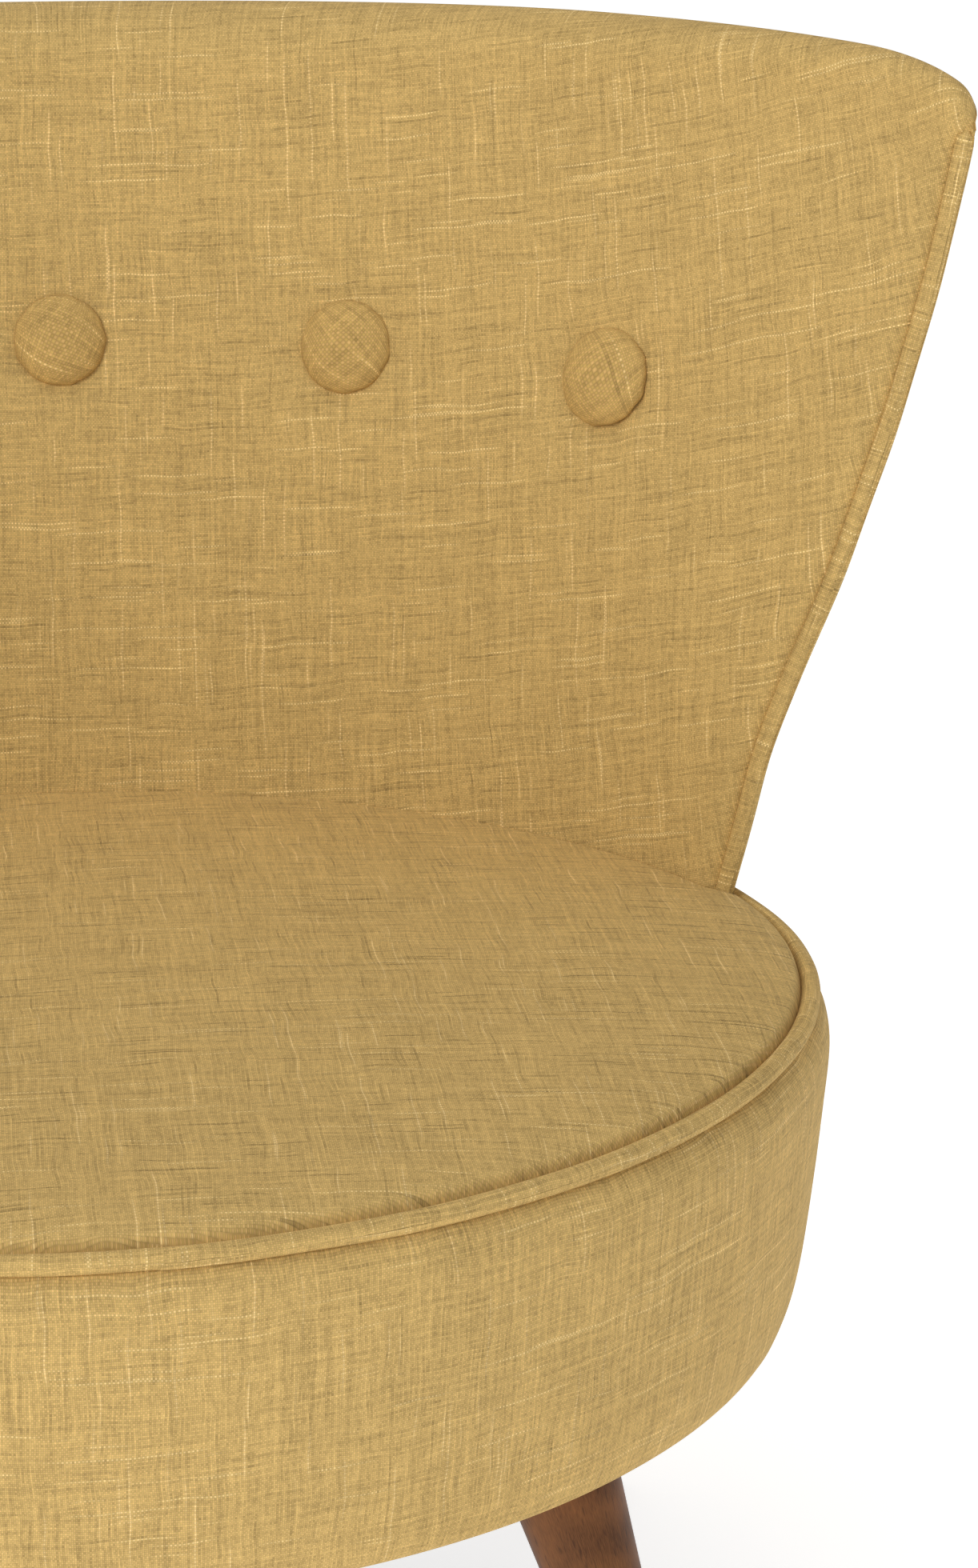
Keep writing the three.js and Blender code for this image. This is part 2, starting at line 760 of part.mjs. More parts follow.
function add(name, geometry, look) {
  geometry.deleteAttribute('normal');
  geometry.computeVertexNormals();
  const mesh = new THREE.Mesh(geometry, look);
  mesh.name = name;
  sofa.add(mesh);
}

for (const place of legPlaces()) {
  add(`glide_${place.name}`, glide(place), NYLON);
  add(`leg_${place.name}`, leg(place), LEG_WOOD);
  add(`hanger_bolt_${place.name}`, hangerBolt(place), STEEL);
  add(`t_nut_${place.name}`, tNut(place), STEEL);
}

add('base_ring', baseRing(), FRAME_WOOD);
add('upper_ring', upperRing(), FRAME_WOOD);
STUD.angles.forEach((angle, k) => add(`stud_${k + 1}`, stud(angle), FRAME_WOOD));
['right', 'rear', 'left', 'front'].forEach((name, quarter) => {
  add(`band_board_${name}`, bandBoard(quarter), FIBREBOARD);
});
add('dust_cover', dustCover(), LINING);
add('seat_band', seatBand(), FABRIC);
add('seat_piping', seatPiping(), FABRIC);
[-1, 0, 1].forEach((place) => {
  add(`strap_cross_${place + 2}`, webbing(place * WEBBING.pitch, false), WEB);
  add(`strap_long_${place + 2}`, webbing(place * WEBBING.pitch, true), WEB);
});
add('seat_foam', seatFoam(), FOAM);
add('seat_top_cover', seatTopCover(), FABRIC);

add('back_bottom_rail', bottomRail(), FRAME_WOOD);
add('back_top_rail', backRail(topRailBottom), FRAME_WOOD);
['left', 'middle', 'right'].forEach((name, k) => add(`post_${name}`, post(POST.places[k]), FRAME_WOOD));
screwPlaces().forEach((place, k) => add(`rail_screw_${k + 1}`, railScrew(place), STEEL));
add('back_liner', backLiner(), FIBREBOARD);
add('back_foam', backFoam(), FOAM);
add('inside_back_cover', insideBackCover(), FABRIC);
add('outside_back_cover', outsideBackCover(), FABRIC);
add('edge_piping_left', edgePiping(-1), FABRIC);
add('edge_piping_right', edgePiping(1), FABRIC);
for (let k = 0; k < BUTTON.count; k += 1) {
  add(`button_${k + 1}`, button(k), FABRIC);
}

// The origin lies on the floor at the middle of the whole sofa's footprint.
const extent = new THREE.Box3().setFromObject(sofa);
sofa.position.y = -(extent.min.y + extent.max.y) / 2;

export default sofa;
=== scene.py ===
"""Looks of a compact cocktail sofa with wooden legs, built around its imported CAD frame.

Metres, +Z up, the seat faces -Y. Every shown surface is mesh made here, with a node material.
"""
import json
import math

import bpy
import numpy as np
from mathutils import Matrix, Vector


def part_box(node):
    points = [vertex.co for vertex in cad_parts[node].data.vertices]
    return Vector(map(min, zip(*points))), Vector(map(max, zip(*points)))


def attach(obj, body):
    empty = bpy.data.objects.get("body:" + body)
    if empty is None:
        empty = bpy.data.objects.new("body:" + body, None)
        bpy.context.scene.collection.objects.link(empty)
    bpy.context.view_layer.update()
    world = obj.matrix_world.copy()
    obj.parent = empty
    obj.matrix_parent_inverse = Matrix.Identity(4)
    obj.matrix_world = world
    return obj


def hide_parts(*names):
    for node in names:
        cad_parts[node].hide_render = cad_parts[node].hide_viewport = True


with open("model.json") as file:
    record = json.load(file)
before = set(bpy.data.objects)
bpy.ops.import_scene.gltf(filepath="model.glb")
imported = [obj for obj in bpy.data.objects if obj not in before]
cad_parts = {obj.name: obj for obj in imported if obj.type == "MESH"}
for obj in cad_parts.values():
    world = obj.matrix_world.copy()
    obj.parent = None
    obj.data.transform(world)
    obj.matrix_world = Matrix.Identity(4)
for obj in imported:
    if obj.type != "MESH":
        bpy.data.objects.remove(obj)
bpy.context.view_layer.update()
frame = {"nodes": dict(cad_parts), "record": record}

MM = 0.001
TAU = 2 * math.pi

# ---- driving sizes, the same as the CAD's ----

PIPING_RADIUS = 4.0 * MM
PIPING_INSET = 2.0 * MM
BAND_LOW, BAND_HIGH = (np.array(corner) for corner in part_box("seat_band"))
PIPING_LOW, PIPING_HIGH = (np.array(corner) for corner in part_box("seat_piping"))
SEAT_Y = (PIPING_LOW[1] + PIPING_HIGH[1]) / 2
HALF_WIDTH = PIPING_HIGH[0] - PIPING_RADIUS + PIPING_INSET
HALF_DEPTH = PIPING_HIGH[1] - SEAT_Y - PIPING_RADIUS + PIPING_INSET
DRUM_BOTTOM = BAND_LOW[2]
DRUM_TOP = BAND_HIGH[2]
OVAL_POWER = 1.93
BOTTOM_SCALE = 0.96
PIPING_Z = 354.0 * MM
RIM_Z = 358.8 * MM
RIM_INSET = 6.6 * MM
CROWN_RISE = 20.2 * MM
RIM_STEP = 4.8 * MM             # part of the crown's rise, taken close to the piping
MEAN_RADIUS = 0.29              # of the drum, to turn an angle into a distance round it

ARC_RADIUS = 335.0 * MM
FOOT_Z = 346.0 * MM
REAR_Y = 206.6 * MM
RECLINE = 0.34
BACK_TOP = 708.0 * MM
TOP_SWELL = 26.8 * MM
EDGE_THICKNESS = 13.0 * MM
MIDDLE_THICKNESS = 56.0 * MM
CORNER_LENGTH = 0.14
CORNER_DROP = 17.5 * MM
ROLL_SEAM = 0.86 * math.pi
WING_HEIGHTS = np.array([340, 420, 460, 500, 560, 620, 680, 712]) * MM
WING_HALF_WIDTHS = np.array([273, 293, 309, 326, 347, 364, 377, 381]) * MM
WING_REARS = np.array([64, 70, 73, 75, 79, 83, 87, 89]) * MM

BUTTON_Z = 563.0 * MM
BUTTON_SPACING = 133.0 * MM
BUTTON_RADIUS = 20.7 * MM
BUTTON_HEIGHT = 10.0 * MM

# ---- small geometry helpers ----


def ripple(u, v, size, seed):
    """Smooth unevenness from -1 to 1 over a surface, with bumps about size across."""
    random = np.random.default_rng(seed)
    total = np.zeros(np.broadcast(u, v).shape)
    for _ in range(7):
        turn, phase = random.uniform(0, TAU, 2)
        wave = TAU / (size * random.uniform(1.4, 3.2))
        total = total + np.sin(wave * (u * math.cos(turn) + v * math.sin(turn)) + phase)
    return total / 4


def smooth_step(low, high, value):
    share = np.clip((value - low) / (high - low), 0, 1)
    return share * share * (3 - 2 * share)


def smoothed(places, values, window):
    """A table as a smooth function: read in straight lines, then averaged over a window."""
    fine = np.linspace(places[0], places[-1], 800)
    straight = np.interp(fine, places, values)
    count = int(round(window / (fine[1] - fine[0])))
    padded = np.pad(straight, count, mode="reflect", reflect_type="odd")
    for _ in range(2):
        padded = np.convolve(padded, np.ones(count) / count, mode="same")
    level = padded[count:-count]
    return lambda value: np.interp(value, fine, level)


def points(x, y, z):
    return np.stack(np.broadcast_arrays(x, y, z), axis=-1)


def grid_faces(rows, columns, ring=False):
    """Quads over a grid of rows x columns points. ring joins the last column to the first."""
    row, column = np.meshgrid(
        np.arange(rows - 1), np.arange(columns if ring else columns - 1), indexing="ij")
    after = (column + 1) % columns
    corner = [row * columns + column, row * columns + after,
              (row + 1) * columns + after, (row + 1) * columns + column]
    return np.stack([c.ravel() for c in corner], axis=-1)


def mesh_object(name, vertices, faces, material, thread=None):
    mesh = bpy.data.meshes.new(name)
    mesh.from_pydata(vertices.reshape(-1, 3).tolist(), [], [list(map(int, f)) for f in faces])
    mesh.update()
    mesh.shade_smooth()
    if thread is not None:
        layer = mesh.attributes.new("thread", "FLOAT_VECTOR", "POINT")
        layer.data.foreach_set("vector", thread.reshape(-1).astype(np.float32))
    made = bpy.data.objects.new(name, mesh)
    bpy.context.scene.collection.objects.link(made)
    mesh.materials.append(material)
    return made


def finish_piece(made, slot, *replaced):
    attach(made, "root")
    if replaced:
        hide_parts(*replaced)
    return made


def tube(path, radius, around=16, closed=False, wobble=0.0, seed=1):
    """A cord along a path, with rings square to it. Returns its grid and its cloth coordinates."""
    ahead = np.roll(path, -1, axis=0) - np.roll(path, 1, axis=0)
    if not closed:
        ahead[0] = path[1] - path[0]
        ahead[-1] = path[-1] - path[-2]
    ahead /= np.linalg.norm(ahead, axis=1, keepdims=True)
    side = np.cross(ahead, [0, 0, 1.0])
    side /= np.linalg.norm(side, axis=1, keepdims=True)
    up = np.cross(side, ahead)
    along = np.concatenate([[0], np.cumsum(np.linalg.norm(np.diff(path, axis=0), axis=1))])
    turn = np.linspace(0, TAU, around + 1)
    size = radius * (1 + wobble * ripple(along[:, None], turn[None, :] * radius, 0.02, seed))
    grid = path[:, None] + size[..., None] * (
        np.cos(turn)[None, :, None] * side[:, None] + np.sin(turn)[None, :, None] * up[:, None])
    thread = points(turn[None, :] * radius, along[:, None], seed * 0.37)
    return grid, thread


# ---- shape of the drum ----


def drum_scale(z):
    return BOTTOM_SCALE + (1 - BOTTOM_SCALE) * np.clip(
        (z - DRUM_BOTTOM) / (DRUM_TOP - DRUM_BOTTOM), 0, 1)


def bend(value):
    return np.sign(value) * np.abs(value) ** (2 / OVAL_POWER)


def oval(turn, inset, z, scale_z=None):
    """Points of the seat's oval outline at a height, pulled in by inset."""
    scale = drum_scale(z if scale_z is None else scale_z)
    return points((HALF_WIDTH * scale - inset) * bend(np.cos(turn)),
                  SEAT_Y + (HALF_DEPTH * scale - inset) * bend(np.sin(turn)), z)


# ---- shape of the back ----

WING_X = smoothed(WING_HEIGHTS, WING_HALF_WIDTHS, 22 * MM)
WING_Y = smoothed(WING_HEIGHTS, WING_REARS, 22 * MM)


def plan_curve(z):
    """Centre, flare and sweep of the back's plan curve at a height, and its half length."""
    half_width, rear = WING_X(z), WING_Y(z)
    centre = REAR_Y + RECLINE * (z - FOOT_Z) - ARC_RADIUS
    reach = np.hypot(half_width, rear - centre)
    flare = np.sqrt(np.maximum(reach ** 2 - ARC_RADIUS ** 2, 0))
    sweep = np.arctan2(half_width, rear - centre) - np.arctan2(flare, ARC_RADIUS)
    return centre, flare, sweep, ARC_RADIUS * sweep + flare


def back_point(share, z, depth, trim=0.0):
    """share runs from -1 at the left wing's edge to 1 at the right; depth goes rearwards."""
    centre, _, sweep, length = plan_curve(z)
    run = np.abs(share) * (length - trim)
    turn = np.minimum(run / ARC_RADIUS, sweep)
    straight = run - ARC_RADIUS * turn
    side = np.where(share < 0, -1.0, 1.0)
    x = (ARC_RADIUS + depth) * np.sin(turn) + straight * np.cos(turn)
    y = centre + (ARC_RADIUS + depth) * np.cos(turn) - straight * np.sin(turn)
    return points(side * x, SEAT_Y + y, z)


def thickness(share):
    bulk = MIDDLE_THICKNESS - EDGE_THICKNESS
    return EDGE_THICKNESS + bulk * (1 - np.abs(share) ** 1.5)


def back_top(share):
    reach = np.abs(share)
    swell = TOP_SWELL * reach ** 2 * (1 - reach ** 2)
    corner = np.clip((reach - 1 + CORNER_LENGTH) / CORNER_LENGTH, 0, 1)
    return BACK_TOP + swell - CORNER_DROP * (1 - np.sqrt(1 - corner ** 2))


def roll_foot(share):
    """Height where the straight faces end and the rolled top begins."""
    return back_top(share) - thickness(share) / 2


def roll_point(share, angle, sink):
    half = thickness(share) / 2
    z = roll_foot(share) + (half - sink) * np.sin(angle)
    return back_point(share, z, half - (half - sink) * np.cos(angle))


FAN_ANGLE = 0.383               # half angle of the cone that the back unrolls from
FAN_RADIUS = 0.843


def back_thread(share, slant, turned=0.0, seed=0.0):
    """Cloth coordinates on the back: its cover is cut flat, so its threads fan out on the cone."""
    angle = FAN_ANGLE * share + turned
    reach = FAN_RADIUS + slant
    return points(reach * np.sin(angle), reach * np.cos(angle), seed)


def button_places():
    """Share of the half length, and index, of each covered button."""
    length = plan_curve(BUTTON_Z)[3]
    return [(k * BUTTON_SPACING / length, k) for k in (-2, -1, 0, 1, 2)]


def from_button(share, z, place):
    """Sideways and upward distance along the cover from a button."""
    sideways = (share - place) * plan_curve(z)[3]
    upward = (z - BUTTON_Z) * math.hypot(1, RECLINE)
    return sideways, upward


# ---- materials ----


class Shader:
    """A node material in the making."""

    def __init__(self, name):
        self.material = bpy.data.materials.new(name)
        self.material.use_nodes = True
        self.tree = self.material.node_tree
        self.surface = self.tree.nodes["Principled BSDF"]

    def node(self, kind, **settings):
        made = self.tree.nodes.new(kind)
        for key, value in settings.items():
            setattr(made, key, value)
        return made

    def put(self, socket, value):
        if isinstance(value, bpy.types.NodeSocket):
            self.tree.links.new(value, socket)
        else:
            socket.default_value = value

    def math(self, operation, *values, clamp=False):
        made = self.node("ShaderNodeMath", operation=operation, use_clamp=clamp)
        for socket, value in zip(made.inputs, values):
            self.put(socket, value)
        return made.outputs[0]

    def vector(self, operation, first, second):
        made = self.node("ShaderNodeVectorMath", operation=operation)
        self.put(made.inputs[0], first)
        self.put(made.inputs["Scale"] if operation == "SCALE" else made.inputs[1], second)
        return made.outputs[0]

    def noise(self, vector, detail=2.0, roughness=0.5, scale=1.0):
        made = self.node("ShaderNodeTexNoise")
        self.put(made.inputs["Vector"], vector)
        made.inputs["Scale"].default_value = scale
        made.inputs["Detail"].default_value = detail
        made.inputs["Roughness"].default_value = roughness
        return made.outputs["Fac"]

    def noise_colour(self, vector):
        made = self.node("ShaderNodeTexNoise")
        self.put(made.inputs["Vector"], vector)
        made.inputs["Scale"].default_value = 1.0
        made.inputs["Detail"].default_value = 1.0
        return made.outputs["Color"]

    def cell_noise(self, vector):
        made = self.node("ShaderNodeTexWhiteNoise", noise_dimensions="3D")
        self.put(made.inputs["Vector"], vector)
        return made.outputs["Value"]

    def join(self, x, y, z):
        made = self.node("ShaderNodeCombineXYZ")
        for socket, value in zip(made.inputs, (x, y, z)):
            self.put(socket, value)
        return made.outputs[0]

    def band(self, value, low, high, to_low=0.0, to_high=1.0):
        made = self.node("ShaderNodeMapRange", interpolation_type="SMOOTHSTEP")
        for socket, number in zip(made.inputs, (value, low, high, to_low, to_high)):
            self.put(socket, number)
        return made.outputs[0]

    def mix(self, factor, first, second):
        made = self.node("ShaderNodeMix", data_type="RGBA")
        self.put(made.inputs[0], factor)
        self.put(made.inputs[6], first)
        self.put(made.inputs[7], second)
        return made.outputs[2]

    def attribute(self, name):
        return self.node("ShaderNodeAttribute", attribute_name=name).outputs["Vector"]

    def place(self):
        return self.node("ShaderNodeTexCoord").outputs["Object"]

    def parts(self, vector):
        made = self.node("ShaderNodeSeparateXYZ")
        self.put(made.inputs[0], vector)
        return made.outputs

    def bump(self, height, distance, strength=1.0):
        made = self.node("ShaderNodeBump")
        made.inputs["Strength"].default_value = strength
        made.inputs["Distance"].default_value = distance
        self.put(made.inputs["Height"], height)
        self.put(self.surface.inputs["Normal"], made.outputs[0])

    def finish(self, color, roughness, **constants):
        self.put(self.surface.inputs["Base Color"], color)
        self.put(self.surface.inputs["Roughness"], roughness)
        for name, value in constants.items():
            self.surface.inputs[name.replace("_", " ")].default_value = value
        return self.material


def colour(red, green, blue):
    """An sRGB colour, 0 to 255, as the linear colour that shaders use."""
    linear = [((c / 255 + 0.055) / 1.055) ** 2.4 for c in (red, green, blue)]
    return (*linear, 1.0)


WARP_PITCH = 0.75 * MM
WEFT_PITCH = 0.85 * MM
WARP_COLOUR = colour(206, 171, 110)
WEFT_COLOUR = colour(195, 165, 99)
SLUB_COLOUR = colour(228, 200, 142)


def weave(name, slubs=1.0, dashes=1.0, warp_share=1.0, painted_shade=(1, 1, 1)):
    """Flat linen-look weave. Each thread varies in tone along its length, and here and there
    it swells to a light slub or thins to a dark dash."""
    s = Shader(name)
    cloth = s.attribute("thread")
    wander = s.parts(s.noise_colour(s.vector("MULTIPLY", cloth, (40, 40, 1))))
    x, y, seed = s.parts(cloth)
    across = s.math("ADD", s.math("DIVIDE", x, WARP_PITCH), s.math("MULTIPLY", wander[0], 5.0))
    upward = s.math("ADD", s.math("DIVIDE", y, WEFT_PITCH), s.math("MULTIPLY", wander[1], 5.0))
    warp_number, weft_number = s.math("FLOOR", across), s.math("FLOOR", upward)
    warp = s.math("SINE", s.math("MULTIPLY", across, math.pi))
    weft = s.math("SINE", s.math("MULTIPLY", upward, math.pi))
    over = s.math("MULTIPLY_ADD", s.math("MULTIPLY", warp, weft), 0.8, 0.5, clamp=True)
    height = s.math("MULTIPLY", s.math("ABSOLUTE", warp), s.math("ABSOLUTE", weft))

    def along(distance, number, length, shift, detail=1.0):
        """Noise that runs along each thread and starts afresh on the next one."""
        row = s.math("MULTIPLY_ADD", number, 7.31, shift)
        return s.noise(s.join(s.math("DIVIDE", distance, length), row, seed), detail)

    def each_way(length, shift, detail=1.0):
        return (along(y, warp_number, length, shift, detail),
                along(x, weft_number, length, shift + 50, detail))

    short_up, short_side = each_way(8 * MM, 0.5, 2.0)
    long_up, long_side = each_way(60 * MM, 5.5, 2.0)
    slub_up, slub_side = each_way(75 * MM, 11.5, 1.0)
    dash_up, dash_side = each_way(45 * MM, 23.5, 1.0)
    broad_up = s.noise(s.vector("MULTIPLY", cloth, (520, 16, 1)), 2.0)
    broad_side = s.noise(s.vector("MULTIPLY", cloth, (12, 480, 1)), 2.0)
    cloudy = s.noise(s.vector("MULTIPLY", cloth, (16, 16, 1)), 2.0)
    grain = s.cell_noise(s.join(warp_number, weft_number, seed))
    slub_up = s.band(slub_up, 0.66, 0.71)
    slub_side = s.band(slub_side, 0.645, 0.70)
    dash_up = s.band(dash_up, 0.65, 0.72)
    dash_side = s.band(dash_side, 0.615, 0.70)
    light_thread = s.math("MAXIMUM", s.math("MULTIPLY", slub_up, over),
                          s.math("MULTIPLY", slub_side, s.math("SUBTRACT", 1.0, over)))
    dark_thread = s.math("MAXIMUM", s.math("MULTIPLY", dash_up, 0.7), dash_side)
    # The height term darkens the valleys between the threads: painted shade, on top of the bump.
    terms = (
        (short_up, 0.42 * warp_share, 0.5), (short_side, 0.38, 0.5),
        (long_up, 0.60 * warp_share, 0.5), (long_side, 0.54, 0.5),
        (broad_up, 0.14 * warp_share, 0.5), (broad_side, 0.12, 0.5),
        (cloudy, 0.08, 0.5), (grain, 0.24, 0.5), (height, 0.34, 0.405),
        (light_thread, 0.32 * slubs, 0.01), (dark_thread, -0.17 * dashes, 0.03),
    )
    tone = 1 - sum(weight * mean for _, weight, mean in terms)
    for term, weight, _ in terms:
        tone = s.math("MULTIPLY_ADD", term, weight, tone)
    thread_colour = s.mix(over, WARP_COLOUR, WEFT_COLOUR)
    thread_colour = s.mix(s.math("MULTIPLY", light_thread, 0.6), thread_colour, SLUB_COLOUR)
    lift = s.math("ADD", s.math("MULTIPLY_ADD", light_thread, 0.8, height),
                  s.math("MULTIPLY", s.math("ADD", broad_up, broad_side), 1.1))
    s.bump(lift, 0.16 * MM, 0.7)
    rough = s.math("MULTIPLY_ADD", short_up, -0.2, 0.92)
    # This multiplier makes a darker, browner copy of the same cloth: painted shade, used on the buttons.
    thread_colour = s.vector("MULTIPLY", thread_colour, painted_shade)
    return s.finish(s.vector("SCALE", thread_colour, tone), rough, Sheen_Weight=0.03,
                    Sheen_Roughness=0.4, Specular_IOR_Level=0.1)


def leg_wood():
    """Beech stained walnut: cathedral grain from growth rings cut at a slant, with fine pores."""
    s = Shader("leg_wood")
    grain = s.attribute("thread")
    x, y, z = s.parts(grain)
    drift = s.noise(s.vector("MULTIPLY", grain, (22, 22, 5)), 2.0)
    ring_x = s.math("ADD", x, s.math("MULTIPLY_ADD", z, 0.09, -0.02))
    ring = s.math("SQRT", s.math("ADD", s.math("MULTIPLY", ring_x, ring_x),
                                 s.math("MULTIPLY", y, y)))
    rings = s.math("SINE", s.math("MULTIPLY_ADD", ring, TAU / 0.0042, s.math("MULTIPLY", drift, 15)))
    pores = s.noise(s.vector("MULTIPLY", grain, (2600, 2600, 70)), 2.0, 0.6)
    fleck = s.band(s.noise(s.vector("MULTIPLY", grain, (900, 900, 130)), 1.0), 0.6, 0.72)
    blotch = s.noise(s.vector("MULTIPLY", grain, (60, 60, 9)), 2.0)
    tone = s.math("MULTIPLY_ADD", rings, 0.13, 0.42)
    tone = s.math("MULTIPLY_ADD", s.math("SUBTRACT", pores, 0.5), 0.9, tone)
    tone = s.math("MULTIPLY_ADD", s.math("SUBTRACT", blotch, 0.5), 0.8, tone, clamp=True)
    body = s.mix(tone, colour(72, 42, 19), colour(150, 97, 54))
    body = s.mix(s.math("MULTIPLY", fleck, 0.45), body, colour(58, 34, 20))
    s.bump(s.math("MULTIPLY_ADD", pores, 0.6, s.math("MULTIPLY", rings, 0.1)), 0.12 * MM, 0.5)
    return s.finish(body, s.math("MULTIPLY_ADD", pores, 0.22, 0.42), Coat_Weight=0.04,
                    Coat_Roughness=0.35, Specular_IOR_Level=0.2)


def sawn_wood(name, light, dark, scale):
    """Bare timber or board that stays inside the sofa."""
    s = Shader(name)
    place = s.place()
    grain = s.noise(s.vector("MULTIPLY", place, (scale, scale * 0.12, scale)), 4.0, 0.6)
    plies = s.math("SINE", s.math("MULTIPLY", s.parts(place)[2], TAU / 0.0032))
    tone = s.math("MULTIPLY_ADD", plies, 0.08, grain, clamp=True)
    s.bump(grain, 0.3 * MM, 0.5)
    return s.finish(s.mix(tone, dark, light), s.math("MULTIPLY_ADD", grain, 0.2, 0.62))


def zinc_steel():
    s = Shader("steel")
    spangle = s.noise(s.vector("MULTIPLY", s.place(), (400, 400, 900)), 3.0)
    s.bump(spangle, 0.05 * MM, 0.4)
    return s.finish(s.mix(spangle, colour(150, 152, 156), colour(205, 207, 210)),
                    s.math("MULTIPLY_ADD", spangle, 0.3, 0.22), Metallic=1.0)


def moulded_nylon():
    s = Shader("nylon")
    grain = s.noise(s.vector("MULTIPLY", s.place(), (1500, 1500, 1500)), 2.0)
    s.bump(grain, 0.08 * MM, 0.4)
    return s.finish(s.mix(grain, colour(34, 30, 28), colour(56, 51, 48)),
                    s.math("MULTIPLY_ADD", grain, 0.25, 0.42))


def lining_cloth(name, low, high, scale):
    """Non-woven lining, webbing and foam: a matted or open texture."""
    s = Shader(name)
    place = s.place()
    mat = s.noise(s.vector("MULTIPLY", place, (scale, scale, scale)), 5.0, 0.65)
    dots = s.noise(s.vector("MULTIPLY", place, (scale * 3, scale * 0.4, scale * 3)), 1.0)
    s.bump(s.math("ADD", mat, dots), 0.3 * MM, 0.7)
    return s.finish(s.mix(mat, low, high), s.math("MULTIPLY_ADD", dots, 0.15, 0.82),
                    Sheen_Weight=0.08)


def thread_material():
    s = Shader("sewing_thread")
    twist = s.noise(s.vector("MULTIPLY", s.place(), (2500, 2500, 2500)), 1.0)
    s.bump(twist, 0.1 * MM, 0.6)
    return s.finish(s.mix(twist, colour(205, 168, 98), colour(232, 200, 132)),
                    s.math("MULTIPLY_ADD", twist, 0.2, 0.6))


BACK_CLOTH = weave("fabric_back")
SEAT_CLOTH = weave("fabric_seat", slubs=0.6, dashes=1.7)
BAND_CLOTH = weave("fabric_band", slubs=0.5, dashes=0.5, warp_share=1.25)
# The buttons' cloth is the same weave, darkened and browned: painted shade, not a different cloth.
SHADED_BUTTON_CLOTH = weave("fabric_button_painted_shade", slubs=0.7, dashes=0.5, painted_shade=(0.93, 0.90, 0.85))
LEG_WOOD = leg_wood()
STEEL = zinc_steel()
NYLON = moulded_nylon()
LINING = lining_cloth("lining", colour(20, 20, 21), colour(44, 44, 46), 260)
THREAD = thread_material()

# ---- the curved back ----

PIPED_TOP = 681.0 * MM
INSIDE_COLUMNS = 281
FACE_ROWS = 120
ROLL_ROWS = 30


def back_shares(count):
    """Columns packed closer together at the wings, where the cover turns round the edge."""
    even = np.linspace(-1, 1, count)
    return 0.35 * even + 0.65 * np.sin(even * math.pi / 2)


def closing_depth(share, z):
    """How far the cover turns in beside the wing's edge, where it is sewn to the piping."""
    end = 6.6 * MM - 5.4 * MM * smooth_step(PIPED_TOP - 6 * MM, PIPED_TOP + 10 * MM, z)
    width = 12 * MM
    half = thickness(share) / 2
    to_edge = plan_curve(z)[3] * (1 - np.abs(share))
    near = np.clip(1 - (to_edge - end) / width, 0, 1)
    return half * (1 - (1 - near ** 1.8) ** (1 / 1.8))


def tuft(share, z):
    """Depth of the hollows that the buttons pull into the inside back."""
    depth = np.zeros(np.broadcast(share, z).shape)
    for place, index in button_places():
        sideways, upward = from_button(share, z, place)
        reach = np.hypot(sideways, upward * 1.08)
        angle = np.arctan2(upward, sideways)
        hollow = 6.5 * MM * np.exp(-(np.maximum(reach - 11 * MM, 0) / (17 * MM)) ** 1.15)
        pulls = np.cos(7 * angle + index) + 0.7 * np.cos(11 * angle + 2.3 * index)
        fade = smooth_step(15 * MM, 21 * MM, reach) * np.exp(-np.maximum(reach - 20 * MM, 0) / (16 * MM))
        depth = depth + hollow + 0.42 * MM * pulls * fade
    return depth


def inside_relief(share, z):
    """Depth of the inside cover's surface behind its plain curve."""
    _, _, _, length = plan_curve(z)
    run = share * length
    level = np.clip((z - FOOT_Z) / (roll_foot(share) - FOOT_Z), 0, 1)
    crown = -3.2 * MM * np.sin(math.pi * level) * (1 - np.abs(share) ** 6)
    to_edge = length - np.abs(run)
    pucker = 0.5 * MM * ripple(z, 0 * run, 0.011, 5) * np.exp(-to_edge / (16 * MM))
    uneven = 0.8 * MM * ripple(run, z, 0.09, 3) + 0.25 * MM * ripple(run, z, 0.03, 4)
    return crown + tuft(share, z) + pucker + uneven * (1 - np.abs(share) ** 8)


def inside_back():
    shares = back_shares(INSIDE_COLUMNS)[None, :]
    levels = np.linspace(0, 1, FACE_ROWS)[:, None]
    face_z = FOOT_Z + (roll_foot(shares) - FOOT_Z) * levels
    relief = inside_relief(shares, face_z)
    closing = closing_depth(shares, face_z)
    half = thickness(shares) / 2
    keep = 1 - closing / half
    face = back_point(shares, face_z, closing + relief * keep)
    angles = np.linspace(0, ROLL_SEAM, ROLL_ROWS + 1)[1:, None]
    top_closing = closing_depth(shares, roll_foot(shares) + half * np.sin(angles) * 0.5)
    top_relief = inside_relief(shares, roll_foot(shares)) * (1 - smooth_step(0, 1.2, angles))
    roll = roll_point(shares, angles, top_closing + top_relief * (1 - top_closing / half))
    seam = smooth_step(ROLL_SEAM - 0.16, ROLL_SEAM, angles)
    roll[..., 1] -= 1.5 * MM * seam
    grid = np.concatenate([face, roll])
    slant = np.concatenate([
        (face_z - FOOT_Z) * math.hypot(1, RECLINE),
        (roll_foot(shares) - FOOT_Z) * math.hypot(1, RECLINE) + half * angles])
    thread = back_thread(np.broadcast_to(shares, slant.shape), slant)
    rows, columns = grid.shape[:2]
    made = mesh_object("inside_back_pad", grid, grid_faces(rows, columns), BACK_CLOTH, thread)
    return finish_piece(made, "fabric", "inside_back_cover", "back_foam")


OUTSIDE_FOOT_Z = 362 * MM       # where the flat panel ends and its hem turns in
OUTSIDE_SLANT = 1.06            # length along the leaning panel for each unit of height


